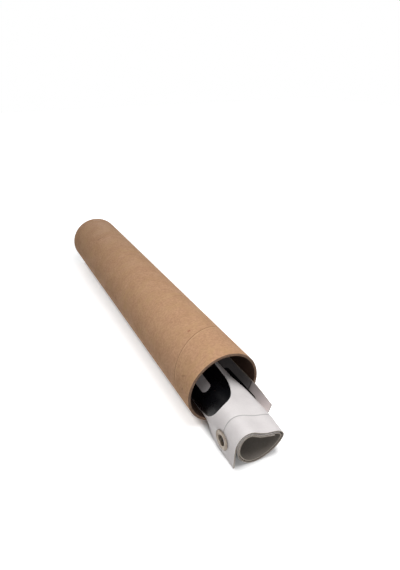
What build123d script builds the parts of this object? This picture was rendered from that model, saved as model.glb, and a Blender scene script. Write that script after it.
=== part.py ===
from build123d import *
import math
import os

# A spiral-wound mailing tube lying on its side, with the rolled banner that it carries.
# X is across the tube, Y runs from the open mouth to the plugged end, Z is up. The origin is on
# the surface that the tube lies on, under the middle of the whole object.

os.makedirs("parts", exist_ok=True)

# Board tube
tube_length = 450.0
tube_diameter = 80.0
tube_wall = 2.8
seam_pitch = 76.9           # one turn of the outer paper strip
seam_start = 42.2           # from the mouth to the seam, at seam_angle
seam_angle = 120.5          # degrees from +X towards +Z
seam_width = 0.45
seam_depth = 0.25
seam_lead = 3.0             # the groove's run past each end of the tube

# Push-in end plug
plug_clearance = 0.3        # between the cup and the bore
plug_depth = 22.0
plug_wall = 1.6
plug_nose = 1.0             # bevel of the cup's inner end
flange_thickness = 2.0
flange_bevel = 0.5
flange_margin = 0.8         # the flange stays this far inside the tube's outer radius
grip_ring_depth = 8.0       # from the flange to the ring
grip_ring_height = 0.15

# Rolled banner
sheet_thickness = 1.1       # doubled cloth at the hem
turn_clearance = 0.4        # between one turn and the next
loose_gap = 1.0             # extra room under the outermost turn
roll_turns = 2.38
step_start = 0.7            # share of each turn after which the sheet steps in
points_per_turn = 24
banner_length = 400.0
banner_reach = 61.2         # out of the mouth, on the tube's middle plane
end_slant = 8.5             # degrees, the roll was pushed out unevenly
hem_width = 25.0
drape_depth = 40.0          # how far inside the mouth the roll takes its inner form
lift_share = 0.4            # of the change from hem to mouth, where the edge lifts
drape_share = 0.6           # of the change from mouth to oval, halfway down the drape

# Outer face of the roll, seen from the open end: across and above the resting surface,
# starting on the left side and going round over the top
end_outline = [
    (-23.3, 22.0), (-20.4, 31.8), (-14.5, 38.0), (-7.5, 39.3), (1.5, 35.6), (10.0, 33.2),
    (19.0, 31.9), (24.9, 27.4), (20.6, 15.0), (9.5, 4.9), (-6.0, 0.3), (-18.6, 7.0),
]
hem_outline = [
    (-23.3, 23.0), (-20.4, 33.6), (-14.4, 40.0), (-7.0, 41.2), (2.5, 38.2), (11.5, 35.6),
    (20.6, 33.6), (26.8, 28.6), (22.4, 16.6), (11.0, 6.7), (-5.0, 2.6), (-17.8, 9.0),
]
mouth_outline = [
    (-23.6, 24.0), (-20.6, 34.8), (-14.2, 41.6), (-6.0, 43.2), (3.2, 41.0), (12.0, 38.0),
    (20.4, 34.2), (25.6, 28.2), (22.0, 17.6), (11.2, 8.4), (-4.0, 4.7), (-17.2, 10.6),
]
inner_width = 48.0          # the roll's oval form inside the tube
inner_height = 39.0
inner_offset = -1.0         # of its middle from the tube's middle plane
inner_lift = 0.3            # over the wrap sheet that it lies on

# Free outer edge of the banner, hanging from the roll's left side
end_foot = (-24.4, 0.1)
lift_foot = (-23.3, 0.1)
mouth_foot = (-21.0, 10.0)
lift_distance = 21.0        # before the mouth, where the edge leaves the resting surface

# Eyelet in the banner's hanging edge
eyelet_flange_diameter = 20.0
eyelet_hole_diameter = 10.6
eyelet_barrel_wall = 0.5
eyelet_flange_height = 1.5
dome_start = 0.2            # the flange's flat top, as shares of its width
dome_end = 0.6
eyelet_from_end = 21.5      # to the banner's cut end
eyelet_height = 15.5
eyelet_clearance = 0.12     # round the barrel
eyelet_seat = 0.32          # flange and washer stand this far off, as the banner bends a little there
washer_diameter = 16.0
washer_thickness = 0.5

# Wrap: a second sheet between the roll and the tube
wrap_thickness = 0.9
wrap_length = 375.0
wrap_reach = 35.0
wrap_edge_angle = -11.0     # of its free edge, about the tube's axis
wrap_foot_angle = -95.0
wrap_clearance = 0.25
wrap_steps = 14
wrap_end_outline = [(33.6, 32.0), (29.4, 22.5), (21.0, 10.2), (9.5, 2.4), (-2.0, 0.2)]

tube_radius = tube_diameter / 2
bore_radius = tube_radius - tube_wall
slant = math.radians(end_slant)
banner_tip = banner_reach + max(x for x, h in end_outline) * math.sin(slant)
mouth_y = banner_tip - (banner_tip + tube_length + flange_thickness) / 2
tube_end_y = mouth_y + tube_length


def across(distance, angle=0.0):
    """A plane across the tube, at a distance from the mouth towards the plugged end, in which a
    point is (x, height). It turns about the upright line where it meets the middle plane."""
    turn = math.radians(angle)
    return Plane(
        origin=(0, mouth_y + distance, 0),
        x_dir=(math.cos(turn), -math.sin(turn), 0),
        z_dir=(-math.sin(turn), -math.cos(turn), 0),
    )


def on_circle(radius, angle):
    """A point (x, height) on a circle about the tube's axis."""
    turn = math.radians(angle)
    return (radius * math.cos(turn), tube_radius + radius * math.sin(turn))


def ease(value):
    """0 below 0, 1 above 1, and a smooth step between."""
    step = min(max(value, 0.0), 1.0)
    return step * step * (3 - 2 * step)


def inset(turns):
    """How far inside the roll's outline a turn lies: each turn steps in on the lower left."""
    whole = math.floor(turns)
    late = ease((turns - whole - step_start) / (1 - step_start))
    first = ease((turns - step_start) / (1 - step_start))
    return (sheet_thickness + turn_clearance) * (whole + late) + loose_gap * first


def oval_outline():
    """The roll's outline inside the tube, where it has the form of an oval."""
    bottom = tube_wall + wrap_clearance + wrap_thickness + inner_lift
    middle = bottom + inner_height / 2
    angles = [math.radians(180 - 360 * step / len(end_outline)) for step in range(len(end_outline))]
    return [
        (inner_offset + inner_width / 2 * math.cos(a), middle + inner_height / 2 * math.sin(a))
        for a in angles
    ]


def between(first, second, share):
    """The outline that lies at a share of the way from the first outline to the second."""
    return [
        (x1 + (x2 - x1) * share, h1 + (h2 - h1) * share)
        for (x1, h1), (x2, h2) in zip(first, second)
    ]


def inner_side(outer, thickness):
    """Points of a sheet's inner face, from those of its outer face in clockwise order."""
    inner = []
    for number, point in enumerate(outer):
        before = outer[max(number - 1, 0)]
        after = outer[min(number + 1, len(outer) - 1)]
        inner.append(point + (after - before).normalized().rotate(Axis.Z, -90) * thickness)
    return inner


def wound_sheet(outline, foot):
    """Points of the rolled sheet's outer face, from its hanging edge to its inner edge."""
    closed = Spline(*outline, periodic=True, mode=Mode.PRIVATE)
    count = math.ceil(roll_turns * points_per_turn)
    hang = [Vector(foot), (Vector(foot) + closed @ 0) / 2]
    wound = []
    for step in range(count + 1):
        turns = roll_turns * step / count
        place = turns % 1.0
        inward = (closed % place).rotate(Axis.Z, -90)
        wound.append(closed @ place + inward * inset(turns))
    return hang + wound


# The tube, with the open seam of its outer strip, which winds round it from end to end
seam_turn = math.radians(seam_angle + 360 * (seam_start + seam_lead) / seam_pitch)
seam_plane = Plane(
    origin=(0, mouth_y - seam_lead, tube_radius),
    x_dir=(math.cos(seam_turn), 0, math.sin(seam_turn)),
    z_dir=(0, 1, 0),
)
seam = seam_plane.location * Helix(seam_pitch, tube_length + 2 * seam_lead, tube_radius)
with BuildPart() as tube:
    with BuildSketch(across(0)):
        with Locations((0, tube_radius)):
            Circle(tube_radius)
            Circle(bore_radius, mode=Mode.SUBTRACT)
    extrude(amount=-tube_length)
    with BuildSketch(Plane(origin=seam @ 0, x_dir=seam_plane.x_dir, z_dir=seam % 0)):
        Rectangle(2 * seam_depth, seam_width)
    sweep(path=seam, is_frenet=True, mode=Mode.SUBTRACT)
tube.part.label = "tube"

# The end plug: a cup that is open to the outside, with a grip ring and a flange that meets the tube
cup_radius = bore_radius - plug_clearance
flange_radius = tube_radius - flange_margin
with BuildPart() as end_plug:
    with BuildSketch(Plane(origin=(0, tube_end_y, tube_radius), x_dir=(1, 0, 0), z_dir=(0, 0, 1))):
        with BuildLine():
            Polyline(
                (0, -plug_depth),
                (cup_radius - plug_nose, -plug_depth),
                (cup_radius, plug_nose - plug_depth),
                (cup_radius, 0),
                (flange_radius, 0),
                (flange_radius, flange_thickness - flange_bevel),
                (flange_radius - flange_bevel, flange_thickness),
                (cup_radius - plug_wall, flange_thickness),
                (cup_radius - plug_wall, plug_wall - plug_depth),
                (0, plug_wall - plug_depth),
                close=True,
            )
        make_face()
        with Locations((cup_radius, -grip_ring_depth)):
            Rectangle(2 * grip_ring_height, 2 * grip_ring_height, rotation=45)
    revolve(axis=Axis((0, tube_end_y, tube_radius), (0, 1, 0)))
end_plug.part.label = "end_plug"

# Where the eyelet sits: a plane on the outer face of the hanging edge, which leans a little
edge_lean = (end_outline[0][0] - end_foot[0]) / (end_outline[0][1] - end_foot[1])
eyelet_x = end_foot[0] + edge_lean * (eyelet_height - end_foot[1])
eyelet_plane = Plane(
    origin=across(eyelet_from_end - banner_reach, end_slant).from_local_coords(
        Vector(eyelet_x, eyelet_height)
    ),
    x_dir=(0, 1, 0),
    z_dir=(-1, 0, edge_lean * math.cos(slant)),
)
hole_radius = eyelet_hole_diameter / 2
flange_width = eyelet_flange_diameter / 2 - hole_radius
barrel_radius = hole_radius + eyelet_barrel_wall
cut_radius = barrel_radius + eyelet_clearance
washer_face = -sheet_thickness - eyelet_seat
washer_back = washer_face - washer_thickness

# The banner: one sheet wound in turns, its outermost edge hanging to the resting surface
stations = [
    (across(-banner_reach, end_slant), end_outline, end_foot),
    (across(hem_width - banner_reach, end_slant), hem_outline, end_foot),
    (across(-lift_distance), between(hem_outline, mouth_outline, lift_share), lift_foot),
    (across(0), mouth_outline, mouth_foot),
    (across(drape_depth / 2), between(mouth_outline, oval_outline(), drape_share), mouth_foot),
    (across(drape_depth), oval_outline(), mouth_foot),
    (across(banner_length - banner_reach), oval_outline(), mouth_foot),
]
with BuildPart() as banner_roll:
    for plane, outline, foot in stations:
        outer_points = wound_sheet(outline, foot)
        inner_points = inner_side(outer_points, sheet_thickness)
        with BuildSketch(plane):
            with BuildLine():
                Polyline(*outer_points, *reversed(inner_points), close=True)
            make_face()
    loft(ruled=True)
    with BuildSketch(eyelet_plane.offset(loose_gap)):
        Circle(cut_radius)
    extrude(amount=-sheet_thickness - 2 * loose_gap, mode=Mode.SUBTRACT)
banner_roll.part.label = "banner_roll"

# The eyelet: a domed flange and a barrel through the banner, and the washer on its back
eyelet_section = Plane(
    origin=eyelet_plane.origin, x_dir=eyelet_plane.x_dir, z_dir=-eyelet_plane.y_dir
)
with BuildPart() as eyelet:
    with BuildSketch(eyelet_section):
        with BuildLine():
            Polyline(
                (hole_radius, washer_back),
                (hole_radius, eyelet_flange_height / 2),
                (hole_radius + flange_width * dome_start, eyelet_flange_height),
                (hole_radius + flange_width * dome_end, eyelet_flange_height),
                (hole_radius + flange_width, eyelet_seat),
                (barrel_radius, eyelet_seat),
                (barrel_radius, washer_back),
                close=True,
            )
        make_face()
    revolve(axis=Axis(eyelet_plane.origin, eyelet_plane.z_dir))
eyelet.part.label = "eyelet"

with BuildPart() as eyelet_washer:
    with BuildSketch(eyelet_plane.offset(washer_face)):
        Circle(washer_diameter / 2)
        Circle(cut_radius, mode=Mode.SUBTRACT)
    extrude(amount=-washer_thickness)
eyelet_washer.part.label = "eyelet_washer"

# The wrap: a second sheet that lies along the tube's wall, under the roll and up its right side
wall_radius = bore_radius - wrap_clearance
wrap_span = wrap_foot_angle - wrap_edge_angle
wrap_shares = [step / wrap_steps for step in range(wrap_steps + 1)]
end_curve = Spline(*wrap_end_outline, mode=Mode.PRIVATE)
wrap_end = [end_curve @ share for share in wrap_shares]
wrap_wall = [
    Vector(on_circle(wall_radius, wrap_edge_angle + wrap_span * share)) for share in wrap_shares
]
with BuildPart() as banner_wrap:
    for distance, outer_points in (
        (-wrap_reach, wrap_end),
        (0, wrap_wall),
        (wrap_length - wrap_reach, wrap_wall),
    ):
        inner_points = inner_side(outer_points, wrap_thickness)
        with BuildSketch(across(distance)):
            with BuildLine():
                Polyline(*outer_points, *reversed(inner_points), close=True)
            make_face()
    loft(ruled=True)
banner_wrap.part.label = "banner_wrap"

for piece in (tube, end_plug, banner_roll, eyelet, eyelet_washer, banner_wrap):
    export_step(piece.part, f"parts/{piece.part.label}.step")
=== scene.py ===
import math

import bmesh
import bpy
import numpy as np
from mathutils import Matrix, Vector


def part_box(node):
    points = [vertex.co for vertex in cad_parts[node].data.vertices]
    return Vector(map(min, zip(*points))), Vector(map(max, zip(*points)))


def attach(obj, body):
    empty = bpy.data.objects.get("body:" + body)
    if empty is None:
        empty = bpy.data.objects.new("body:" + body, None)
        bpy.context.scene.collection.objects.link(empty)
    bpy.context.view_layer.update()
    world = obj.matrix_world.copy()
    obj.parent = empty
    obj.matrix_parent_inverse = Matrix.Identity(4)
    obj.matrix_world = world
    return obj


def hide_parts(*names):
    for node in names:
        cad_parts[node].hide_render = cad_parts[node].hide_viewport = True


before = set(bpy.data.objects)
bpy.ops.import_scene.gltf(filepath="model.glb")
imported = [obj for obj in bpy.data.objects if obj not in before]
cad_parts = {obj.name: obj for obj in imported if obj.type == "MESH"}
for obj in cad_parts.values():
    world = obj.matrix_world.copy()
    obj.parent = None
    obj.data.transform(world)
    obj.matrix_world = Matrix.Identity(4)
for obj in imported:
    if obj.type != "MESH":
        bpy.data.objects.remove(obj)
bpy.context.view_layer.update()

# Mailing tube with a rolled banner. Metres. X is across the tube, Y runs from the open mouth
# to the plugged end, Z is up. A distance called s is measured from the mouth along the tube.
mm = 0.001
tubeLow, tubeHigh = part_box("tube")
mouthY = tubeLow.y
farY = tubeHigh.y
tubeRadius = (tubeHigh.x - tubeLow.x) / 2
print("frame loaded, mouth at", round(mouthY, 4))


# Curves and meshes that the pieces share

def smooth(value):
    # 0 below 0, 1 above 1, an even step between
    step = np.clip(value, 0.0, 1.0)
    return step * step * (3 - 2 * step)


def closedCurve(points, places):
    # a smooth closed curve through the points, read at places from 0 to 1
    knots = np.array(points, float)
    gaps = np.linalg.norm(np.roll(knots, -1, 0) - knots, axis=1)
    count = len(knots)
    system = np.zeros((count, count))
    target = np.zeros((count, 2))
    for i in range(count):
        before, after = (i - 1) % count, (i + 1) % count
        system[i, before] += gaps[before]
        system[i, i] += 2 * (gaps[before] + gaps[i])
        system[i, after] += gaps[i]
        rise = (knots[after] - knots[i]) / gaps[i]
        fall = (knots[i] - knots[before]) / gaps[before]
        target[i] = 6 * (rise - fall)
    bend = np.linalg.solve(system, target)
    starts = np.concatenate([[0], np.cumsum(gaps)])
    along = np.mod(places, 1.0) * starts[-1]
    piece = np.clip(np.searchsorted(starts, along, side="right") - 1, 0, count - 1)
    gap = gaps[piece][:, None]
    right = ((along - starts[piece])[:, None]) / gap
    left = 1 - right
    first, second = knots[piece], knots[(piece + 1) % count]
    bendA, bendB = bend[piece], bend[(piece + 1) % count]
    return (
        left * first + right * second
        + ((left ** 3 - left) * bendA + (right ** 3 - right) * bendB) * gap ** 2 / 6
    )


def openCurve(points, places):
    # a smooth open curve through the points (Catmull-Rom), read at places from 0 to 1
    knots = np.array(points, float)
    padded = np.vstack([2 * knots[0] - knots[1], knots, 2 * knots[-1] - knots[-2]])
    along = np.clip(places, 0, 1) * (len(knots) - 1)
    piece = np.minimum(along.astype(int), len(knots) - 2)
    t = (along - piece)[:, None]
    p0, p1, p2, p3 = (padded[piece + k] for k in range(4))
    return 0.5 * (
        2 * p1 + (p2 - p0) * t + (2 * p0 - 5 * p1 + 4 * p2 - p3) * t ** 2
        + (3 * p1 - p0 - 3 * p2 + p3) * t ** 3
    )


def throughStations(values, at, wanted):
    # smooth from station to station, without going past any of them
    at = np.array(at, float)
    gaps = np.diff(at)
    slopes = np.diff(values, axis=0) / gaps.reshape(-1, *([1] * (values.ndim - 1)))
    tangents = np.zeros_like(values)
    tangents[0] = slopes[0]
    product = slopes[:-1] * slopes[1:]
    total = slopes[:-1] + slopes[1:]
    safe = np.where(np.abs(total) < 1e-12, 1.0, total)
    tangents[1:-1] = np.where(product > 0, 2 * product / safe, 0)
    rows = []
    for place in wanted:
        i = int(np.clip(np.searchsorted(at, place, side="right") - 1, 0, len(gaps) - 1))
        t = (place - at[i]) / gaps[i]
        rows.append(
            values[i] * (2 * t ** 3 - 3 * t ** 2 + 1)
            + values[i + 1] * (3 * t ** 2 - 2 * t ** 3)
            + tangents[i] * gaps[i] * (t ** 3 - 2 * t ** 2 + t)
            + tangents[i + 1] * gaps[i] * (t ** 3 - t ** 2)
        )
    return np.array(rows)


def runLength(points):
    # how far each point lies from the first, measured along the points
    return np.concatenate([[0], np.cumsum(np.linalg.norm(np.diff(points, axis=0), axis=1))])


def inwardOf(curve):
    # unit normals on the right-hand side of each row's curve of (x, height) points
    along = np.gradient(curve, axis=-2)
    along /= np.maximum(np.linalg.norm(along, axis=-1, keepdims=True), 1e-9)
    return np.stack([along[..., 1], -along[..., 0]], -1)


def setAcross(curve, s, slant):
    # rows of (x, height) points set into the frame, each row on its own plane across the tube
    turn = np.radians(slant)[:, None]
    x = curve[..., 0]
    return np.stack(
        [x * np.cos(turn), mouthY + s[:, None] - x * np.sin(turn), curve[..., 1]], -1
    )


def arc(middle, radius, start, end, steps):
    turns = np.radians(np.linspace(start, end, steps))
    return [(middle[0] + radius * math.cos(t), middle[1] + radius * math.sin(t)) for t in turns]


def latheGrid(profile, middle, heading, segments):
    # a closed profile of (radius, height) points turned about the heading
    heading = heading.normalized()
    side = Vector((0, 0, 1)) if abs(heading.y) > 0.9 else Vector((0, 1, 0))
    other = heading.cross(side)
    angles = np.linspace(0, 2 * math.pi, segments + 1)
    profile = np.array(profile)
    radius, height = profile[:, 0][:, None], profile[:, 1][:, None]
    spread = (
        np.array(side) * np.cos(angles)[None, :, None] + np.array(other) * np.sin(angles)[None, :, None]
    )
    points = np.array(middle) + radius[..., None] * spread + height[..., None] * np.array(heading)
    uv = np.stack(np.meshgrid(angles * profile[:, 0].mean(), runLength(profile)), -1)
    return points, uv


def meshFromGrids(name, grids, materials, weld=2e-6):
    # grids are (points, uv, material number); rows and columns that meet are welded
    vertices, faces, corners, numbers, start = [], [], [], [], 0
    for points, uv, number in grids:
        rows, columns = points.shape[:2]
        index = np.arange(rows * columns).reshape(rows, columns)
        quads = np.stack(
            [index[:-1, :-1], index[:-1, 1:], index[1:, 1:], index[1:, :-1]], -1
        ).reshape(-1, 4)
        vertices.append(points.reshape(-1, 3))
        faces.append(quads + start)
        corners.append(uv.reshape(-1, 2)[quads].reshape(-1, 2))
        numbers.append(np.full(len(quads), number))
        start += rows * columns
    mesh = bpy.data.meshes.new(name)
    mesh.from_pydata(np.vstack(vertices).tolist(), [], np.vstack(faces).tolist())
    layer = mesh.uv_layers.new(name="UVMap")
    layer.data.foreach_set("uv", np.vstack(corners).astype(np.float32).ravel())
    mesh.polygons.foreach_set("material_index", np.concatenate(numbers).astype(np.int32))
    bm = bmesh.new()
    bm.from_mesh(mesh)
    bmesh.ops.remove_doubles(bm, verts=bm.verts, dist=weld)
    bmesh.ops.dissolve_degenerate(bm, edges=bm.edges, dist=1e-7)
    bmesh.ops.recalc_face_normals(bm, faces=bm.faces)
    bm.to_mesh(mesh)
    bm.free()
    mesh.polygons.foreach_set("use_smooth", [True] * len(mesh.polygons))
    mesh.set_sharp_from_angle(angle=math.radians(38))
    for material in materials:
        mesh.materials.append(material)
    print("piece made:", name, len(mesh.polygons), "faces")
    return addObject(name, mesh)


def addObject(name, data):
    made = bpy.data.objects.new(name, data)
    bpy.context.scene.collection.objects.link(made)
    return made


def turnedPiece(name, profile, middle, heading, settings, materials, weld=1e-6):
    grid, uv = latheGrid(profile, middle, heading, settings["segments"])
    return meshFromGrids(name, [(grid, uv, 0)], materials, weld)


def ripple(points, sizes, seed):
    # an even, repeatable unevenness of about -1 to 1, from a few crossed waves
    chance = np.random.default_rng(seed)
    total = np.zeros(points.shape[:-1])
    for size in sizes:
        for _ in range(3):
            heading = chance.normal(size=3)
            heading /= np.linalg.norm(heading)
            total += np.sin(points @ heading * (2 * math.pi / size) + chance.uniform(0, 6.28))
    return total / (3 * len(sizes))


# Node tools

def newMaterial(name, even=()):
    # even holds what is the same all over, for the shader's own sockets
    material = bpy.data.materials.new(name)
    material.use_nodes = True
    tree = material.node_tree
    shader = tree.nodes["Principled BSDF"]
    for label, value in dict(even).items():
        shader.inputs[label].default_value = value
    return material, tree, shader


def node(tree, kind, inputs=None, **settings):
    made = tree.nodes.new(kind)
    for key, value in settings.items():
        setattr(made, key, value)
    for key, value in (inputs or {}).items():
        if isinstance(value, bpy.types.NodeSocket):
            tree.links.new(value, made.inputs[key])
        else:
            made.inputs[key].default_value = value
    return made


def math2(tree, operation, first, second=0.0, clamp=False):
    return node(
        tree, "ShaderNodeMath", {0: first, 1: second}, operation=operation, use_clamp=clamp
    ).outputs[0]


def mixColour(tree, factor, first, second):
    return node(tree, "ShaderNodeMix", {0: factor, 6: first, 7: second}, data_type="RGBA").outputs[2]


def tint(tree, tone, mask, amount, shade):
    # the shade laid over the tone where the mask is, by that amount
    return mixColour(tree, math2(tree, "MULTIPLY", mask, amount), tone, shade)


def rampOf(tree, value, low, high, lowOut=0.0, highOut=1.0):
    return node(
        tree, "ShaderNodeMapRange",
        {0: value, 1: low, 2: high, 3: lowOut, 4: highOut},
        interpolation_type="SMOOTHSTEP",
    ).outputs[0]


def flatPlace(tree):
    # a piece's flat coordinates in metres: together, across and along
    uv = node(tree, "ShaderNodeUVMap", uv_map="UVMap").outputs[0]
    across, along, _ = node(tree, "ShaderNodeSeparateXYZ", {0: uv}).outputs
    return uv, across, along


def addColour(tree, shader, tone):
    tree.links.new(tone, shader.inputs["Base Color"])


def addBump(tree, shader, height, strength, depth):
    bump = node(tree, "ShaderNodeBump", {"Strength": strength, "Distance": depth, "Height": height})
    tree.links.new(bump.outputs[0], shader.inputs["Normal"])


def colour(red, green, blue):
    # a colour picked on screen, 0 to 255, as the light it stands for
    levels = [c / 255 for c in (red, green, blue)]
    return tuple(c / 12.92 if c < 0.04 else ((c + 0.055) / 1.055) ** 2.4 for c in levels) + (1.0,)


def newGroup(name, inputs, outputs):
    # an input is a vector where no value is given, a colour where it is a tuple, or else a number
    group = bpy.data.node_groups.new(name, "ShaderNodeTree")
    for label, value in inputs.items():
        kind = "Vector" if value is None else "Color" if isinstance(value, tuple) else "Float"
        socket = group.interface.new_socket(label, in_out="INPUT", socket_type="NodeSocket" + kind)
        if value is not None:
            socket.default_value = value
    for label, kind in outputs.items():
        group.interface.new_socket(label, in_out="OUTPUT", socket_type="NodeSocket" + kind)
    start = group.nodes.new("NodeGroupInput")
    end = group.nodes.new("NodeGroupOutput")
    return group, start.outputs, end.inputs


def placeGroup(tree, group, inputs):
    return node(tree, "ShaderNodeGroup", inputs, node_tree=group).outputs


print("tools ready")

# Shared effects

def makeMottleGroup():
    # fibres and blotches, as in board, cloth backing and worn metal
    group, given, out = newGroup(
        "mottle",
        {
            "Vector": None, "Fine Scale": 900.0, "Broad Scale": 40.0, "Colour": (0.5, 0.5, 0.5, 1),
            "Dark Colour": (0.3, 0.3, 0.3, 1), "Fine Amount": 0.5, "Broad Amount": 0.3,
        },
        {"Colour": "Color", "Grain": "Float", "Blotch": "Float"},
    )
    masks, shares = [], []
    for size, roughness in (("Fine", 0.6), ("Broad", 0.55)):
        noise = node(group, "ShaderNodeTexNoise", {
            "Vector": given["Vector"], "Scale": given[size + " Scale"],
            "Detail": 3.0, "Roughness": roughness,
        }).outputs["Fac"]
        masks.append(rampOf(group, noise, 0.3, 0.7))
        shares.append(math2(group, "MULTIPLY", masks[-1], given[size + " Amount"]))
    share = math2(group, "ADD", shares[0], shares[1], clamp=True)
    group.links.new(mixColour(group, share, given["Colour"], given["Dark Colour"]), out["Colour"])
    group.links.new(masks[0], out["Grain"])
    group.links.new(masks[1], out["Blotch"])
    return group


def makeFieldGroup():
    # a round-cornered field: 1 inside, 0 outside, from flat coordinates in metres; its height
    # is given before it is stretched
    group, given, out = newGroup(
        "roundedField",
        {
            "Vector": None, "Middle X": 0.0, "Middle Y": 0.0, "Turn": 0.0, "Stretch": 1.0,
            "Half Width": 0.01, "Half Height": 0.01, "Corner": 0.002, "Soft Edge": 0.0002,
        },
        {"Mask": "Float"},
    )

    def do(operation, first, second=0.0, clamp=False):
        return math2(group, operation, first, second, clamp)

    parts = node(group, "ShaderNodeSeparateXYZ", {0: given["Vector"]}).outputs
    x = do("SUBTRACT", parts[0], given["Middle X"])
    y = do("DIVIDE", do("SUBTRACT", parts[1], given["Middle Y"]), given["Stretch"])
    cosTurn = do("COSINE", given["Turn"])
    sinTurn = do("SINE", given["Turn"])
    along = do("ADD", do("MULTIPLY", x, cosTurn), do("MULTIPLY", y, sinTurn))
    beside = do("SUBTRACT", do("MULTIPLY", y, cosTurn), do("MULTIPLY", x, sinTurn))
    past = []
    for value, half in ((along, given["Half Width"]), (beside, given["Half Height"])):
        inner = do("SUBTRACT", half, given["Corner"])
        past.append(do("SUBTRACT", do("ABSOLUTE", value), inner))
    outX = do("MAXIMUM", past[0], 0.0)
    outY = do("MAXIMUM", past[1], 0.0)
    outside = do("SQRT", do("ADD", do("MULTIPLY", outX, outX), do("MULTIPLY", outY, outY)))
    inside = do("MINIMUM", do("MAXIMUM", past[0], past[1]), 0.0)
    distance = do("SUBTRACT", do("ADD", outside, inside), given["Corner"])
    mask = do("SUBTRACT", 0.5, do("DIVIDE", distance, given["Soft Edge"]), clamp=True)
    group.links.new(mask, out["Mask"])
    return group


mottle = makeMottleGroup()
roundedField = makeFieldGroup()


def placeMottle(tree, grain, *tones):
    # grain holds the scales of the fibres and the blotches, and how strong each is. Tones are
    # the light and the dark one. Where only the masks are used, strengths and tones are left out.
    given = {"Vector": node(tree, "ShaderNodeTexCoord").outputs["Object"]}
    given.update(zip(("Fine Scale", "Broad Scale", "Fine Amount", "Broad Amount"), grain))
    given.update(zip(("Colour", "Dark Colour"), tones))
    return placeGroup(tree, mottle, given)


def newFinish(name, finish):
    # a mottled material; its roughness follows the blotches, where it isn't even
    material, tree, shader = newMaterial(name, finish.get("even", ()))
    skin = placeMottle(tree, finish["grain"], finish["light"], finish["dark"])
    addColour(tree, shader, skin["Colour"])
    if "roughness" in finish:
        rough = rampOf(tree, skin["Blotch"], 0.0, 1.0, *finish["roughness"])
        tree.links.new(rough, shader.inputs["Roughness"])
    return material, tree, shader, skin


def plainFinish(name, finish):
    # a mottled material whose grain also stands up a little
    material, tree, shader, skin = newFinish(name, finish)
    addBump(tree, shader, skin["Grain"], *finish["bump"])
    return material


print("shared effects ready")

# Camera: at the photograph's place, worked out from the tube's known length and width
cameraSet = {
    "place": (-0.17411, -0.27164, 0.32771),  # across, from the mouth, height
    "right": (0.8798, -0.4753, 0.0),
    "up": (0.2232, 0.4131, 0.8829),
    "lens": 26.53,
    "sensor": 36.0,
}


def addCamera(settings):
    data = bpy.data.cameras.new("photoCamera")
    data.sensor_fit = "VERTICAL"
    data.sensor_height = settings["sensor"]
    data.lens = settings["lens"]
    data.clip_start = 0.01
    right, up = Vector(settings["right"]), Vector(settings["up"])
    turn = Matrix((right, up, right.cross(up))).transposed().to_4x4()
    x, y, z = settings["place"]
    camera = addObject("photoCamera", data)
    camera.matrix_world = Matrix.Translation((x, mouthY + y, z)) @ turn
    bpy.context.scene.camera = camera
    print("camera placed")


addCamera(cameraSet)

# Light: an even white room, a large soft lamp high over the mouth, a weak one in front of it
# and a low one that shows the plugged end
lightSet = {
    "room": 0.16,
    "key": {"place": (0.02, -0.08, 0.73), "aim": (0.0, 0.03, 0.03), "size": 0.45, "power": 3.75},
    "front": {"place": (-0.25, -0.80, 0.62), "aim": (0.0, 0.0, 0.04), "size": 0.5, "power": 2.7},
    "back": {"place": (0.12, 1.25, 0.20), "aim": (0.0, 0.45, 0.04), "size": 0.35, "power": 2.0},
}


def addLamp(name, settings):
    data = bpy.data.lights.new(name, "AREA")
    data.shape = "DISK"
    data.size = settings["size"]
    data.energy = settings["power"]
    lamp = addObject(name, data)
    place = Vector(settings["place"]) + Vector((0, mouthY, 0))
    aim = Vector(settings["aim"]) + Vector((0, mouthY, 0))
    lamp.location = place
    lamp.rotation_euler = (aim - place).to_track_quat("-Z", "Y").to_euler()


# Floor: white to the eye, but least under and close to the object, so that its shadow stays
floorSet = {
    "reach": 3.0,
    "steps": 12,
    "paper": {"Base Color": (0.80, 0.80, 0.80, 1), "Roughness": 0.9, "Emission Color": (1, 1, 1, 1)},
    "footHalf": 0.02,  # half the width of the strip in full shadow
    "footInset": 0.006,  # from the object's ends to those of the strip
    "shadowWidth": 0.011,  # beside the strip, where the shadow turns paler
    "lift": 0.6,  # how white it is past that
    "whiteFrom": (0.06, 0.45),  # from the strip, where the paper goes on to full white
}


def seenDirectly(tree):
    # 1 for what the camera sees, also in metal or through glass
    path = node(tree, "ShaderNodeLightPath").outputs
    total = math2(tree, "ADD", path["Is Camera Ray"], path["Is Glossy Ray"])
    return math2(tree, "ADD", total, path["Is Transmission Ray"], clamp=True)


def makeRoom(level):
    world = bpy.data.worlds.new("whiteRoom")
    world.use_nodes = True
    tree = world.node_tree
    tree.nodes.clear()
    strength = rampOf(tree, seenDirectly(tree), 0.0, 1.0, level, 1.0)
    background = node(tree, "ShaderNodeBackground", {"Color": (1, 1, 1, 1), "Strength": strength})
    out = tree.nodes.new("ShaderNodeOutputWorld")
    tree.links.new(background.outputs[0], out.inputs[0])
    bpy.context.scene.world = world


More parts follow.
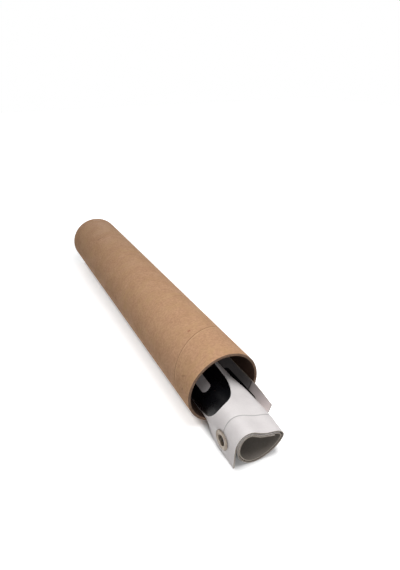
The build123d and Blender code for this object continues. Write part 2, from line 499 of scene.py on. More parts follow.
def makePaper(settings):
    material, tree, shader = newMaterial("paperSweep", settings["paper"])
    place = node(tree, "ShaderNodeTexCoord").outputs["Object"]
    x, y, _ = node(tree, "ShaderNodeSeparateXYZ", {0: place}).outputs
    past = []
    for value, half in ((x, settings["footHalf"]), (y, farY - settings["footInset"])):
        gap = math2(tree, "SUBTRACT", math2(tree, "ABSOLUTE", value), half)
        past.append(math2(tree, "MAXIMUM", gap, 0.0))
    beyond = node(tree, "ShaderNodeCombineXYZ", {0: past[0], 1: past[1]}).outputs[0]
    distance = node(tree, "ShaderNodeVectorMath", {0: beyond}, operation="LENGTH").outputs["Value"]
    beside = rampOf(tree, distance, 0.0, settings["shadowWidth"], 0.0, settings["lift"])
    away = rampOf(tree, distance, *settings["whiteFrom"])
    lift = math2(tree, "MULTIPLY", seenDirectly(tree), math2(tree, "ADD", beside, away))
    tree.links.new(lift, shader.inputs["Emission Strength"])
    return material


def makeFloor(settings):
    bm = bmesh.new()
    steps = settings["steps"]
    bmesh.ops.create_grid(bm, x_segments=steps, y_segments=steps, size=settings["reach"])
    mesh = bpy.data.meshes.new("paperFloor")
    bm.to_mesh(mesh)
    bm.free()
    mesh.materials.append(makePaper(settings))
    addObject("paperFloor", mesh)


for lampName in ("key", "front", "back"):
    addLamp(lampName + "Lamp", lightSet[lampName])
makeRoom(lightSet["room"])
makeFloor(floorSet)
bpy.context.scene.view_settings.view_transform = "Standard"
print("room ready")

# Board tube: one wall of wound strips, whose outer strip leaves an open seam
tubeSet = {
    "wall": 2.8 * mm,
    "columns": 180,
    "rowsPerTurn": 12,  # from one edge of the wound strip to the next
    "boreRows": 60,
    "boreInset": 4 * mm,  # of its first and last row
    "seamPitch": 76.9 * mm,
    "seamStart": 42.2 * mm,
    "seamAngle": 120.5,
    "seamWidth": 0.6 * mm,
    "seamDepth": 0.25 * mm,
    "seamFade": (50 * mm, 85 * mm, 1.0, 0.16),  # from the mouth, and how strong it is there
    "seamShade": colour(152, 116, 88),
    "seamRunOut": 1 * mm,  # to nothing at the tube's ends
    "lipWidth": (1.6 * mm, 0.2 * mm),  # the paler strip beside it: to nothing, from full
    "lipShade": colour(226, 192, 152),
    "lipAmount": 0.5,
    "rimRound": 0.8 * mm,
    "rimCorner": (0.3, 0.35),  # the one point inside each round, in shares of it
    "rimSteps": 6,
    "rimRough": 0.07 * mm,
    "rimRoughSizes": (0.004, 0.0017),
    "unevenness": 0.06 * mm,
    "waveSizes": (0.05, 0.021),
    "waveRunOut": 6 * mm,
    "paper": {
        "light": colour(199, 158, 125), "dark": colour(156, 113, 86), "grain": (420, 60, 0.42, 0.14),
        "even": {"Specular IOR Level": 0.12}, "roughness": (0.66, 0.80), "bump": (0.22, 0.12 * mm),
    },
    "patchGrain": (130, 24),
    "patchAmount": 0.6,
    "patchShade": colour(190, 154, 112),
    "fibreScale": (90, 1500),  # across and along the tube
    "fibreHeight": 0.6,
    "grainHeight": 0.4,
    "fibres": (
        # level of the noise where they begin and where they are full, strength, colour
        (0.60, 0.74, 0.22, colour(222, 190, 152)),
        (0.40, 0.28, 0.30, colour(120, 86, 58)),
    ),
    "marks": (
        # degrees round, mm from the mouth, half width and height in mm, turn, colour, strength
        (105, 56, 1.7, 0.9, 0.0, colour(142, 72, 54), 0.65),
        (155, 18, 2.6, 0.7, 0.9, colour(120, 84, 58), 0.45),
        (173, 14, 2.0, 0.9, 0.4, colour(116, 80, 56), 0.45),
        (111, 359, 6.0, 0.9, 0.15, colour(128, 92, 66), 0.45),
    ),
    # the cut edge: the board's own tones, darkened as painted shade of the rims
    "edge": {
        "light": colour(140, 116, 98), "dark": colour(104, 81, 67), "grain": (1400, 160, 0.5, 0.4),
        "even": {"Roughness": 0.92, "Specular IOR Level": 0.2}, "bump": (0.6, 0.15 * mm),
    },
    "plyPitch": 0.46 * mm,
    "plyRange": (-0.2, 0.9),  # of the ring's wave: none, and all of its shade
    # the plies' rings, darkened with the edge as painted shade
    "plyShade": colour(82, 63, 50),
    "plyAmount": 0.45,
    "plyHeight": -0.7,
    # the bore's lining: a darker board, darkened further as painted shade of the tube's inside
    "inside": {
        "light": colour(66, 46, 36), "dark": colour(44, 30, 24), "grain": (500, 60, 0.4, 0.4),
        "even": {"Roughness": 0.85, "Specular IOR Level": 0.2}, "bump": (0.4, 0.2 * mm),
    },
    "insideSeam": (0.014, 0.006),  # in shares of the pitch: to nothing, from full
    "insideSeamShade": colour(44, 32, 24),
    "insideSeamAmount": 0.6,
    "insideSeamDepth": 2.0,
}


def onTube(radius, angle, y):
    return np.stack([radius * np.cos(angle), y, tubeRadius + radius * np.sin(angle)], -1)


def tubeOutside(settings, angles):
    # rows follow the wound strip, so the seam runs along them; both ends are cut square
    pitch, width = settings["seamPitch"], settings["seamWidth"]
    plain = np.linspace(width * 4, pitch - width * 4, settings["rowsPerTurn"])
    spots = np.concatenate([[0.0, width, width * 1.4], plain, [pitch - width * 0.4]])
    deep = np.array([1.0, 1.0] + [0.0] * (len(spots) - 2))
    turns = range(-2, int((farY - mouthY) / pitch) + 3)
    offsets = np.concatenate([spots + pitch * k for k in turns])
    depth = np.tile(deep, len(turns))
    start = np.radians(settings["seamAngle"])
    seamY = mouthY + settings["seamStart"] - pitch * (angles - start) / (2 * math.pi)
    low, high = mouthY + settings["rimRound"], farY - settings["rimRound"]
    y = np.clip(offsets[:, None] + seamY[None, :], low, high)
    fromEnd = np.minimum(y - low, high - y)
    groove = depth[:, None] * settings["seamDepth"] * smooth(fromEnd / settings["seamRunOut"])
    angle = np.broadcast_to(angles[None, :], y.shape)
    flat = onTube(tubeRadius, angle, y)
    uneven = settings["unevenness"]
    wave = ripple(flat, settings["waveSizes"], seed=4) * uneven * smooth(fromEnd / settings["waveRunOut"])
    points = onTube(tubeRadius - groove - uneven + wave, angle, y)
    return points, np.stack([angle * tubeRadius, y - mouthY], -1)


def tubeRim(settings, angles, y, direction):
    # the cut edge, from the outside to the bore, with softly broken corners
    outer, bore = tubeRadius - settings["unevenness"], tubeRadius - settings["wall"]
    soft, count = settings["rimRound"], settings["rimSteps"]
    inset, setBack = settings["rimCorner"]
    steps = [(outer, 1.0), (outer - inset * soft, setBack), (outer - soft, 0.0)]
    steps += [(outer - soft - (outer - bore - 2 * soft) * k / count, 0.0) for k in range(1, count)]
    steps += [(bore + soft, 0.0), (bore + inset * soft, setBack), (bore, 1.0)]
    rows, uvs = [], []
    for number, (radius, back) in enumerate(steps):
        place = np.full_like(angles, y + direction * back * soft)
        if 0 < number < len(steps) - 1:
            rough = ripple(onTube(radius, angles, place), settings["rimRoughSizes"], seed=9)
            place = place + rough * settings["rimRough"]
        rows.append(onTube(radius, angles, place))
        uvs.append(np.stack([angles * tubeRadius, np.full_like(angles, outer - radius)], -1))
    return np.array(rows), np.array(uvs)


def tubeBore(settings, angles):
    bore = tubeRadius - settings["wall"]
    soft, inset = settings["rimRound"], settings["boreInset"]
    middles = np.linspace(mouthY + inset, farY - inset, settings["boreRows"])
    places = np.concatenate([[mouthY + soft], middles, [farY - soft]])
    angle, y = np.meshgrid(angles, places)
    return onTube(bore, angle, y), np.stack([angle * bore, y - mouthY], -1)


def alongWinding(tree, across, along, lean):
    # along the tube, but the same all the way along one edge of the wound strip
    return math2(tree, "ADD", along, math2(tree, "MULTIPLY", across, lean))


def makeKraft(settings):
    material, tree, shader, paper = newFinish("kraftPaper", settings["paper"])
    uv, across, along = flatPlace(tree)
    patches = placeMottle(tree, settings["patchGrain"])
    drift = math2(tree, "MULTIPLY", patches["Blotch"], patches["Grain"])
    tone = tint(tree, paper["Colour"], drift, settings["patchAmount"], settings["patchShade"])
    # long fibres lie along the wound strip
    lean = settings["seamPitch"] / (2 * math.pi * tubeRadius)
    wound = alongWinding(tree, across, along, lean)
    fibrePlace = node(tree, "ShaderNodeCombineXYZ", {
        0: math2(tree, "MULTIPLY", across, settings["fibreScale"][0]),
        1: math2(tree, "MULTIPLY", wound, settings["fibreScale"][1]),
    }).outputs[0]
    strands = node(
        tree, "ShaderNodeTexNoise", {"Vector": fibrePlace, "Scale": 1.0, "Detail": 2.0}
    ).outputs["Fac"]
    for begin, full, amount, shade in settings["fibres"]:
        tone = tint(tree, tone, rampOf(tree, strands, begin, full), amount, shade)
    # the seam: a dark open line, sharpest near the mouth, with a paler strip beside it
    seamLead = settings["seamStart"] + lean * tubeRadius * math.radians(settings["seamAngle"])
    behind = math2(tree, "SUBTRACT", wound, seamLead)
    turnShare = math2(tree, "FRACT", math2(tree, "DIVIDE", behind, settings["seamPitch"]))
    seamAt = math2(tree, "MULTIPLY", turnShare, settings["seamPitch"])
    line = rampOf(tree, seamAt, settings["seamWidth"] * 2.0, settings["seamWidth"] * 0.9)
    fade = rampOf(tree, along, *settings["seamFade"])
    lip = rampOf(tree, math2(tree, "SUBTRACT", settings["seamPitch"], seamAt), *settings["lipWidth"])
    lip = math2(tree, "MULTIPLY", lip, fade)
    tone = tint(tree, tone, lip, settings["lipAmount"], settings["lipShade"])
    tone = tint(tree, tone, line, fade, settings["seamShade"])
    for angle, distance, half, tall, turn, shade, amount in settings["marks"]:
        spot = placeGroup(tree, roundedField, {
            "Vector": uv, "Middle X": math.radians(angle) * tubeRadius, "Middle Y": distance * mm,
            "Turn": turn, "Half Width": half * mm, "Half Height": tall * mm,
            "Corner": min(half, tall) * mm, "Soft Edge": 1.2 * mm,
        })["Mask"]
        tone = tint(tree, tone, spot, amount, shade)
    addColour(tree, shader, tone)
    fibreHeight = math2(tree, "MULTIPLY", strands, settings["fibreHeight"])
    grainHeight = math2(tree, "MULTIPLY", paper["Grain"], settings["grainHeight"])
    addBump(tree, shader, math2(tree, "ADD", fibreHeight, grainHeight), *settings["paper"]["bump"])
    return material


def makeBoardEdge(settings):
    # cut plies, seen as fine rings, in tones darkened as painted shade of the rims
    material, tree, shader, pulp = newFinish("boardEdge", settings["edge"])
    _, _, depth = flatPlace(tree)
    rings = math2(tree, "SINE", math2(tree, "MULTIPLY", depth, 2 * math.pi / settings["plyPitch"]))
    ply = rampOf(tree, rings, *settings["plyRange"])
    addColour(tree, shader, tint(tree, pulp["Colour"], ply, settings["plyAmount"], settings["plyShade"]))
    height = math2(tree, "ADD", math2(tree, "MULTIPLY", ply, settings["plyHeight"]), pulp["Grain"])
    addBump(tree, shader, height, *settings["edge"]["bump"])
    return material


def makeBoreLining(settings):
    material, tree, shader, board = newFinish("boreLining", settings["inside"])
    _, across, along = flatPlace(tree)
    lean = settings["seamPitch"] / (2 * math.pi * (tubeRadius - settings["wall"]))
    wound = alongWinding(tree, across, along, lean)
    turnShare = math2(tree, "FRACT", math2(tree, "DIVIDE", wound, settings["seamPitch"]))
    line = rampOf(tree, turnShare, *settings["insideSeam"])
    shade, amount = settings["insideSeamShade"], settings["insideSeamAmount"]
    addColour(tree, shader, tint(tree, board["Colour"], line, amount, shade))
    dip = math2(tree, "MULTIPLY", line, settings["insideSeamDepth"])
    height = math2(tree, "SUBTRACT", board["Grain"], dip)
    addBump(tree, shader, height, *settings["inside"]["bump"])
    return material


def makeTube(settings):
    angles = np.linspace(0, 2 * math.pi, settings["columns"] + 1)
    outside, outsideUv = tubeOutside(settings, angles)
    mouthRim, mouthUv = tubeRim(settings, angles, mouthY, 1)
    farRim, farUv = tubeRim(settings, angles, farY, -1)
    bore, boreUv = tubeBore(settings, angles)
    piece = meshFromGrids(
        "boardTube",
        [(outside, outsideUv, 0), (mouthRim, mouthUv, 1), (farRim, farUv, 1), (bore, boreUv, 2)],
        [makeKraft(settings), makeBoardEdge(settings), makeBoreLining(settings)],
    )
    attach(piece, "tube_body")
    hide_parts("tube")


makeTube(tubeSet)

# Banner cloth: what both sheets are made of
clothSet = {
    "face": {"grain": (700, 55, 0.2, 0.5), "even": {"Specular IOR Level": 0.25}},
    "faceRoughness": (0.38, 0.52),
    "inkRoughness": (0.24, 0.36),
    "faceBump": (0.10, 0.1 * mm),
    "swell": 4.0,  # of the blotches, against the threads' own height
    "thread": 0.9 * mm,
    "weldHalf": 0.35 * mm,  # half width of the line pressed where the hem is welded
    "weldCore": 0.15 * mm,  # to where its shade is full
    "weldAmount": 0.6,
    "inksAndPaintedShade": {
        # painted shade on the wrap: towards the tube's mouth, and inside the tube
        "shade": colour(157, 149, 148),
        "paintedShadeInside": colour(108, 104, 104),
        # black print on the roll; on the wrap the same black is painted shadow in the gap beside the roll
        "field": colour(4, 4, 6),
        # the pale printed bar, greyed below the cloth's white as painted shade
        "bar": colour(160, 154, 154),
    },
    "edge": {
        "light": colour(176, 166, 154), "dark": colour(124, 115, 105), "grain": (1600, 240, 0.6, 0.4),
        "even": {"Roughness": 0.85}, "bump": (0.5, 0.2 * mm),
    },
    # the backing: its own grey, darkened further as painted shade of the roll's hollow
    "back": {
        "light": colour(122, 115, 108), "dark": colour(98, 92, 86), "grain": (500, 50, 0.3, 0.5),
        "roughness": (0.55, 0.68), "bump": (0.25, 0.1 * mm),
    },
}


def sheetRows(settings):
    # distances from the cut end, closest together at the weld and where the sheet shows
    weld, groove = settings["weldLine"], settings["hemGroove"]
    rest, stride = 1.2 * mm, 10 * mm
    beforeWeld, shown, hidden = settings["rowCounts"]
    return np.concatenate([
        np.linspace(0, weld - rest, beforeWeld),
        [weld - groove, weld - 0.3 * groove, weld + 0.3 * groove, weld + groove],
        np.linspace(weld + rest, settings["shownTo"], shown),
        np.linspace(settings["shownTo"] + stride, settings["length"], hidden),
    ])


def weldDip(settings, rows):
    # depth of the pressed line at each row
    away = (rows - settings["weldLine"]) / clothSet["weldHalf"]
    return settings["hemGroove"] * np.exp(-away ** 2)


def sheetShape(stations, rows):
    # the outer face as (x, height) curves, one for each row, and the slant of its plane
    places, slants, curves = zip(*stations)
    return (
        throughStations(np.array(curves), places, rows),
        throughStations(np.array(slants), places, rows),
    )


def closeSheet(outer, inner, uv):
    # both faces, and a strip round all four edges
    grids = [(outer, uv, 0), (inner, uv, 2)]
    middle = (outer + inner) / 2
    for side in (np.s_[0], np.s_[-1], np.s_[:, 0], np.s_[:, -1]):
        strip = np.stack([outer[side], middle[side], inner[side]])
        grids.append((strip, np.stack([uv[side]] * 3), 1))
    return grids


def placeField(tree, uv, field):
    return placeGroup(tree, roundedField, {
        "Vector": uv, "Turn": field.get("turn", 0.0), "Stretch": field.get("stretch", 1.0),
        "Middle X": field["middle"][0] * mm, "Middle Y": field["middle"][1] * mm,
        "Half Width": field["half"][0] * mm, "Half Height": field["half"][1] * mm,
        "Corner": field["corner"] * mm, "Soft Edge": field.get("soft", 0.25) * mm,
    })["Mask"]


def wovenThreads(tree, across, along):
    # crossed threads, as a height from -1 to 1
    perMetre = 2 * math.pi / clothSet["thread"]
    warp = math2(tree, "SINE", math2(tree, "MULTIPLY", across, perMetre))
    weft = math2(tree, "SINE", math2(tree, "MULTIPLY", along, perMetre))
    return math2(tree, "MULTIPLY", warp, weft)


def makeCloth(name, settings):
    # coated cloth: smooth and satin, with the weave just felt through the coating
    material, tree, shader, base = newFinish(name, {**clothSet["face"], **settings["cloth"]})
    uv, across, along = flatPlace(tree)
    tone = base["Colour"]
    # printed fields on the roll; on the wrap, fields of painted shade
    masks = {key: placeField(tree, uv, field) for key, field in settings["print"].items()}
    for key, mask in masks.items():
        tone = mixColour(tree, mask, tone, clothSet["inksAndPaintedShade"][key])
    fromWeld = math2(tree, "ABSOLUTE", math2(tree, "SUBTRACT", along, settings["weldLine"]))
    weld = rampOf(tree, fromWeld, settings["weldWidth"], clothSet["weldCore"])
    tone = tint(tree, tone, weld, clothSet["weldAmount"], settings["weldShade"])
    addColour(tree, shader, tone)
    # the black field is smoother than the cloth and the other fields: ink on the roll, painted shadow on
    # the wrap
    blackField = masks["field"]
    if "bar" in masks:
        blackField = math2(tree, "SUBTRACT", blackField, masks["bar"], clamp=True)
    plain = rampOf(tree, base["Blotch"], 0.0, 1.0, *clothSet["faceRoughness"])
    ofInk = rampOf(tree, base["Blotch"], 0.0, 1.0, *clothSet["inkRoughness"])
    change = math2(tree, "MULTIPLY", blackField, math2(tree, "SUBTRACT", ofInk, plain))
    tree.links.new(math2(tree, "ADD", plain, change), shader.inputs["Roughness"])
    swell = math2(tree, "MULTIPLY", base["Blotch"], clothSet["swell"])
    height = math2(tree, "ADD", wovenThreads(tree, across, along), swell)
    addBump(tree, shader, height, *clothSet["faceBump"])
    return material


def makeClothBack(finish):
    material, tree, shader, _ = newFinish("bannerBack", finish)
    _, across, along = flatPlace(tree)
    addBump(tree, shader, wovenThreads(tree, across, along), *finish["bump"])
    return material


clothEdge = plainFinish("bannerEdge", clothSet["edge"])
clothBack = makeClothBack(clothSet["back"])
print("cloth ready")

# Rolled banner: one sheet wound in turns, its outer edge hanging to the resting surface
rollSet = {
    "thickness": 1.1 * mm,
    "turnClearance": 0.4 * mm,
    "looseGap": 1.0 * mm,
    "turns": 2.38,
    "stepStart": 0.7,  # share of each turn after which the sheet steps in
    "length": 400 * mm,
    "reach": 61.2 * mm,
    "slant": 8.5,
    "hemWidth": 25 * mm,
    "weldLine": 21.3 * mm,
    "hemGroove": 0.32 * mm,
    "liftDistance": 21 * mm,
    "liftShare": 0.4,  # of the change from hem to mouth, where the edge lifts
    "drapeDepth": 40 * mm,
    "drapeShare": 0.5,  # of the change from mouth to oval, halfway down the drape
    "endOutline": [
        (-23.3, 22.0), (-20.4, 31.8), (-14.5, 38.0), (-7.5, 39.3), (1.5, 35.6), (10.0, 33.2),
        (19.0, 31.9), (24.9, 27.4), (20.6, 15.0), (9.5, 4.9), (-6.0, 0.3), (-18.6, 7.0),
    ],
    "hemOutline": [
        (-23.3, 23.0), (-20.4, 33.6), (-14.4, 40.0), (-7.0, 41.2), (2.5, 38.2), (11.5, 35.6),
        (20.6, 33.6), (26.8, 28.6), (22.4, 16.6), (11.0, 6.7), (-5.0, 2.6), (-17.8, 9.0),
    ],
    "mouthOutline": [
        (-23.6, 24.0), (-20.6, 34.8), (-14.2, 41.6), (-6.0, 43.2), (3.2, 41.0), (12.0, 38.0),
        (20.4, 34.2), (25.6, 28.2), (22.0, 17.6), (11.2, 8.4), (-4.0, 4.7), (-17.2, 10.6),
    ],
    "innerOval": (48.0, 39.0, -1.0, 4.25),  # width, height, middle across, lowest point
    "ovalShift": 0.05,  # how much later its points come on the right, in shares of a turn
    "endFoot": (-24.4, 0.1),
    "liftFoot": (-23.3, 0.1),
    "mouthFoot": (-21.0, 10.0),
    "hangPull": 0.5,  # how far the hanging edge keeps the roll's own heading
    "dents": 0.45 * mm,
    "dentSizes": (0.045, 0.024),
    "dentsTo": 15 * mm,  # past the mouth, where the last ones are gone
    "dentsFade": 20 * mm,
    "dentsRise": 12 * mm,  # above the resting surface, where they are full
    "lipDrop": 0.9 * mm,  # how far the inner end of the winding stands off
    "lipLength": 0.07,  # of a turn
    "hangColumns": 24,
    "columnsPerTurn": 84,
    "rowCounts": (18, 48, 22),
    "shownTo": 110 * mm,
    "cloth": {"light": colour(232, 227, 226), "dark": colour(216, 210, 210)},
    "weldWidth": 0.7 * mm,
    "weldShade": colour(120, 118, 118),
    # printed fields: middle (round the winding, along from the cut end), half size and corner
    "print": {
        "field": {"middle": (32, 130), "half": (28.6, 60), "corner": 28.6, "stretch": 1.5},
        "bar": {"middle": (34.2, 96), "half": (5.7, 30), "corner": 5.7, "turn": -0.05},
    },
}


def rollOval(settings):
    # its points lie where those of the other outlines do, whose right-hand end is a little later
    width, height, across, low = settings["innerOval"]
    shares = [step / len(settings["endOutline"]) for step in range(len(settings["endOutline"]))]
    shift = settings["ovalShift"]
    angles = [math.pi - 2 * math.pi * (k - shift * math.sin(math.pi * k) ** 2) for k in shares]
    return [
        (across + width / 2 * math.cos(a), low + height / 2 + height / 2 * math.sin(a)) for a in angles
    ]


def between(first, second, share):
    return [tuple(np.array(a) + (np.array(b) - np.array(a)) * share) for a, b in zip(first, second)]


def woundRow(settings, outline, foot):
    # the sheet's outer face on one plane across: the hanging edge, then the turns
    count = math.ceil(settings["turns"] * settings["columnsPerTurn"])
    turns = np.linspace(0, settings["turns"], count + 1)
    curve = closedCurve(outline, turns) * mm
    nudge = 1e-4
    ahead = closedCurve(outline, turns + nudge) * mm - closedCurve(outline, turns - nudge) * mm
    ahead /= np.linalg.norm(ahead, axis=1, keepdims=True)
    inward = np.stack([ahead[:, 1], -ahead[:, 0]], -1)
    whole, late = np.floor(turns), settings["stepStart"]
    inTurn = smooth((turns - whole - late) / (1 - late))
    step = (settings["thickness"] + settings["turnClearance"]) * (whole + inTurn)
    step = step + settings["looseGap"] * smooth((turns - late) / (1 - late))
    step = step + settings["lipDrop"] * smooth(1 - (settings["turns"] - turns) / settings["lipLength"])
    wound = curve + inward * step[:, None]
    share = np.linspace(0, 1, settings["hangColumns"] + 1)[:-1, None]
    start, end = np.array(foot) * mm, curve[0]
    pull = ahead[0] * np.linalg.norm(end - start) * settings["hangPull"]
    straight = start + (end - start) * share
    curved = straight + (share ** 3 - share ** 2) * (pull * 2 - (end - start))
    return np.vstack([curved, wound])


def rollStations(settings):
    # distance from the cut end, slant and outer face of each plane that shapes the roll
    end, hem, mouth = settings["endOutline"], settings["hemOutline"], settings["mouthOutline"]
    oval = rollOval(settings)
    lifted = between(hem, mouth, settings["liftShare"])
    draped = between(mouth, oval, settings["drapeShare"])
    slant, reach, drape = settings["slant"], settings["reach"], settings["drapeDepth"]
    endFoot, mouthFoot = settings["endFoot"], settings["mouthFoot"]
    planes = [
        (0.0, slant, end, endFoot),
        (settings["hemWidth"], slant, hem, endFoot),
        (reach - settings["liftDistance"], 0.0, lifted, settings["liftFoot"]),
        (reach, 0.0, mouth, mouthFoot),
        (reach + drape / 2, 0.0, draped, mouthFoot),
        (reach + drape, 0.0, oval, mouthFoot),
        (settings["length"], 0.0, oval, mouthFoot),
    ]
    return [(place, turn, woundRow(settings, outline, foot)) for place, turn, outline, foot in planes]


def makeRoll(settings):
    rows = sheetRows(settings)
    outer, slants = sheetShape(rollStations(settings), rows)
    normals = inwardOf(outer)
    # soft dents in the part that stands out of the tube, the same in every turn
    s = rows - settings["reach"]
    shown = smooth((settings["dentsTo"] - s) / settings["dentsFade"])[:, None]
    shown = shown * smooth(outer[..., 1] / settings["dentsRise"])
    dents = ripple(setAcross(outer, s, slants), settings["dentSizes"], seed=12)
    outer = outer + normals * (dents * settings["dents"] * shown)[..., None]
    inner = outer + normals * settings["thickness"]
    outer = outer + normals * weldDip(settings, rows)[:, None, None]
    # flat coordinates: round the winding at the mouth, and along from the cut end
    around = runLength(woundRow(settings, settings["mouthOutline"], settings["mouthFoot"]))
    uv = np.stack(np.meshgrid(around, rows), -1)
    print("banner's flat width", round(float(around[-1]), 4))
    piece = meshFromGrids(
        "rolledBanner",
        closeSheet(setAcross(outer, s, slants), setAcross(inner, s, slants), uv),
        [makeCloth("bannerFace", settings), clothEdge, clothBack],
    )
    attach(piece, "tube_body")
    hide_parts("banner_roll")
    return piece


rolledBanner = makeRoll(rollSet)

# Wrap: a second sheet along the tube's wall, whose free edge stands up on the right
wrapSet = {
    "thickness": 0.9 * mm,
    "length": 375 * mm,
    "reach": 35 * mm,
    "edgeAngle": -11.0,
    "footAngle": -95.0,
    "clearance": 0.25 * mm,
    "endOutline": [(33.6, 32.0), (29.4, 22.5), (21.0, 10.2), (9.5, 2.4), (-2.0, 0.2)],
    "weldLine": 37.5 * mm,
    "hemGroove": 0.3 * mm,
    "columns": 70,
    "rowCounts": (24, 18, 20),
    "shownTo": 80 * mm,
    "cloth": {"light": colour(243, 232, 230), "dark": colour(228, 216, 214)},
    "weldWidth": 1.7 * mm,
    "weldShade": colour(24, 22, 22),
    # fields of painted shade on the face turned to the roll: middle (across from the free edge, along
    # from the cut end) and the rest
    "print": {
        # painted shade: the flap darkens towards the weld line, for the shade of the tube's rim
        "shade": {"middle": (27, 199.5), "half": (90, 180), "corner": 0.1, "soft": 36},
        # painted shade: the sheet is darker from the weld line on into the tube, for the shade inside it
        "paintedShadeInside": {"middle": (27, 217.5), "half": (90, 180), "corner": 0.1},
        # painted shadow: a black patch where the gap between this sheet and the roll lies in shade
        "field": {"middle": (58, 51), "half": (47, 33), "corner": 9},
    },
}


def makeWrap(settings):
    shares = np.linspace(0, 1, settings["columns"] + 1)
    end = openCurve(settings["endOutline"], shares) * mm
    radius = tubeRadius - tubeSet["wall"] - settings["clearance"]
    angles = np.radians(settings["edgeAngle"] + (settings["footAngle"] - settings["edgeAngle"]) * shares)
    wall = np.stack([radius * np.cos(angles), tubeRadius + radius * np.sin(angles)], -1)
    stations = [(0.0, 0.0, end), (settings["reach"], 0.0, wall), (settings["length"], 0.0, wall)]
    rows = sheetRows(settings)
    outer, slants = sheetShape(stations, rows)
    deep = settings["thickness"] - weldDip(settings, rows)
    inner = outer + inwardOf(outer) * deep[:, None, None]
    s = rows - settings["reach"]
    around = runLength(wall)
    uv = np.stack(np.meshgrid(around, rows), -1)
    # the face with the painted shade is the one turned to the roll
    piece = meshFromGrids(
        "wrapSheet",
        closeSheet(setAcross(inner, s, slants), setAcross(outer, s, slants), uv),
        [makeCloth("wrapFace", settings), clothEdge, clothBack],
    )
    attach(piece, "tube_body")
    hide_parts("banner_wrap")


makeWrap(wrapSet)

# Eyelet and its washer, pressed through the hanging edge
eyeletSet = {
    "holeRadius": 5.3 * mm,
    "barrelWall": 0.5 * mm,
    "flangeRadius": 10 * mm,
    "flangeHeight": 1.5 * mm,
    "seat": 0.32 * mm,
    "fromEnd": 21.5 * mm,
    "height": 15.5 * mm,
    "washerRadius": 8 * mm,
    "washerThickness": 0.5 * mm,
    "washerBevel": 0.15 * mm,
    "clearance": 0.12 * mm,
    "holeRound": 0.72 * mm,  # where the flange turns into the barrel
    "crownBend": 1.6,  # radius of the flange's top, over half its width
    "shoulder": 1.1 * mm,  # from the outer edge, where the top turns down
    "outerInset": 0.42 * mm,
    "outerRound": 0.36 * mm,
    "seatStep": 0.4 * mm,  # the flange's flat underside next to the barrel
    "cutMargin": (0.6 * mm, 1.0 * mm),  # past the cloth's inner and outer face
    "segments": 72,
    "metal": {
        "light": colour(168, 158, 146), "dark": colour(112, 98, 86), "grain": (900, 180, 0.35, 0.55),
        "even": {"Metallic": 0.85}, "roughness": (0.34, 0.55), "bump": (0.25, 0.05 * mm),
    },
}


def eyeletPlace(settings):
    # the middle and the outward heading of the eyelet, on the leaning edge of the banner
    side, foot = rollSet["endOutline"][0], rollSet["endFoot"]
    lean = (side[0] - foot[0]) / (side[1] - foot[1])
    x = foot[0] * mm + lean * (settings["height"] - foot[1] * mm)
    turn = math.radians(rollSet["slant"])
    s = settings["fromEnd"] - rollSet["reach"]
    middle = Vector((x * math.cos(turn), mouthY + s - x * math.sin(turn), settings["height"]))
    return middle, Vector((-1, 0, lean * math.cos(turn))).normalized()


def cutEyeletHole(piece, settings):
    # a clean round hole through the hanging edge alone
    middle, heading = eyeletPlace(settings)
    radius = settings["holeRadius"] + settings["barrelWall"] + settings["clearance"]
    behind, before = settings["cutMargin"]
    low = -rollSet["thickness"] - behind
    profile = [(0, low), (radius, low), (radius, before), (0, before)]
    cutter = turnedPiece("holeCutter", profile, middle, heading, settings, [])
    cut = piece.modifiers.new("eyeletHole", "BOOLEAN")
    cut.operation = "DIFFERENCE"
    cut.object = cutter
    cut.solver = "EXACT"
    cut.material_mode = "INDEX"
    whole = piece.data
    graph = bpy.context.evaluated_depsgraph_get()
    piece.data = bpy.data.meshes.new_from_object(piece.evaluated_get(graph))
    piece.modifiers.clear()
    piece.data.name = whole.name
    bpy.data.meshes.remove(whole)
    bpy.data.objects.remove(cutter)
    print("eyelet hole cut", len(piece.data.polygons), "faces")


def makeEyelet(settings):
    middle, heading = eyeletPlace(settings)
    metal = plainFinish("eyeletMetal", settings["metal"])
    hole, barrel = settings["holeRadius"], settings["holeRadius"] + settings["barrelWall"]
    flange, high, seat = settings["flangeRadius"], settings["flangeHeight"], settings["seat"]
    washerFace = -rollSet["thickness"] - seat
    back = washerFace - settings["washerThickness"]
    turnIn, tip, inset = settings["holeRound"], settings["outerRound"], settings["outerInset"]
    crown = (flange - hole) / 2
    bend = crown * settings["crownBend"]
    profile = [(hole, back)]
    profile += arc((hole + turnIn, high - turnIn), turnIn, 180, 100, 8)
    profile += arc((hole + crown, high - bend), bend, 104, 66, 10)
    profile += [(flange - settings["shoulder"], high - inset)]
    profile += arc((flange - inset, seat + tip), tip, 60, -90, 8)
    profile += [(barrel + settings["seatStep"], seat), (barrel, seat), (barrel, back), (hole, back)]
    piece = turnedPiece("eyeletRing", profile, middle, heading, settings, [metal])
    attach(piece, "tube_body")
    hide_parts("eyelet")
    inner = barrel + settings["clearance"]
    outer, bevel = settings["washerRadius"], settings["washerBevel"]
    ring = [
        (inner, washerFace), (outer - bevel, washerFace), (outer, washerFace - bevel),
        (outer, back + bevel), (outer - bevel, back), (inner, back), (inner, washerFace),
    ]
    washer = turnedPiece("eyeletWasher", ring, middle, heading, settings, [metal])
    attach(washer, "tube_body")
    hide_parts("eyelet_washer")


cutEyeletHole(rolledBanner, eyeletSet)
makeEyelet(eyeletSet)

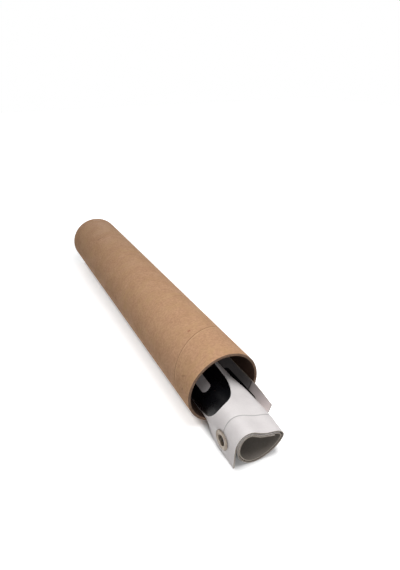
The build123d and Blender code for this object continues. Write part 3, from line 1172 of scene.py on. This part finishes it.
# End plug: a moulded cup pushed into the far end, open to the outside
plugSet = {
    "cupRadius": 36.9 * mm,
    "depth": 22 * mm,
    "wall": 1.6 * mm,
    "nose": 1.0 * mm,
    "noseRound": (0.4 * mm, 0.1 * mm),  # inwards and back, at the nose's own corner
    "flangeRadius": 39.2 * mm,
    "flangeThickness": 2.0 * mm,
    "flangeRoot": (0.3 * mm, 0.25 * mm),  # down and out, where the cup meets the flange
    "flangeBevel": 0.2 * mm,
    "edgeRound": 0.5 * mm,
    "floorRound": 1.5 * mm,
    "ringDepth": 8 * mm,
    "ringHeight": 0.15 * mm,
    "ringHalf": 1.2 * mm,
    "ringShoulder": (0.4 * mm, 0.8),  # from its middle, and the share of its height there
    "discRadius": 30 * mm,  # raised disc on the cup's floor
    "discHeight": 0.25 * mm,
    "discSlope": 0.4 * mm,
    "discMiddle": 0.4,  # one more ring on the disc, in shares of its radius
    "gateRadius": 2.2 * mm,  # nub in its middle, where the plastic came in
    "gateHeight": 0.8 * mm,
    "gateRound": (0.3 * mm, 0.1 * mm),
    "segments": 144,
    "plastic": {
        "light": colour(226, 226, 222), "dark": colour(206, 207, 204), "grain": (1500, 40, 0.2, 0.5),
        "even": {"Subsurface Weight": 0.12, "Subsurface Scale": 0.002},
        "roughness": (0.38, 0.5), "bump": (0.15, 0.05 * mm),
    },
}


def plugProfile(settings):
    # (radius, height) from the middle of the closed end, round the outside and back inside
    cup, deep, nose = settings["cupRadius"], settings["depth"], settings["nose"]
    flange, thick, soft = settings["flangeRadius"], settings["flangeThickness"], settings["edgeRound"]
    inner, base, fillet = cup - settings["wall"], settings["wall"] - deep, settings["floorRound"]
    axis = 0.0001 * mm
    noseIn, noseBack = settings["noseRound"]
    profile = [(axis, -deep), (cup - nose - noseIn, -deep), (cup - nose, -deep + noseBack)]
    ring, half, high = settings["ringDepth"], settings["ringHalf"], settings["ringHeight"]
    shoulder, share = settings["ringShoulder"]
    profile += [(cup, nose - deep), (cup, -ring - half), (cup + high * share, -ring - shoulder)]
    profile += [(cup + high, -ring), (cup + high * share, -ring + shoulder), (cup, -ring + half)]
    rootDown, rootOut = settings["flangeRoot"]
    profile += [(cup, -rootDown), (cup + rootOut, 0.0), (flange - settings["flangeBevel"], 0.0)]
    profile += arc((flange - soft, thick - soft), soft, -20, 90, 7)
    profile += [(inner + soft, thick)]
    profile += arc((inner + soft, thick - soft), soft, 90, 180, 6)[1:]
    profile += arc((inner - fillet, base + fillet), fillet, 0, -90, 8)
    disc, discTop = settings["discRadius"], base + settings["discHeight"]
    profile += [(disc, base), (disc - settings["discSlope"], discTop)]
    gate, gateTop = settings["gateRadius"], base + settings["gateHeight"]
    gateIn, gateDown = settings["gateRound"]
    profile += [(disc * settings["discMiddle"], discTop), (gate, discTop)]
    profile += [(gate - gateIn, gateTop - gateDown), (axis, gateTop)]
    return profile


def makePlug(settings):
    middle = Vector((0, farY, tubeRadius))
    outwards = Vector((0, 1, 0))
    plastic = plainFinish("plugPlastic", settings["plastic"])
    piece = turnedPiece("endPlug", plugProfile(settings), middle, outwards, settings, [plastic], 3e-6)
    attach(piece, "plug_body")
    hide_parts("end_plug")


makePlug(plugSet)
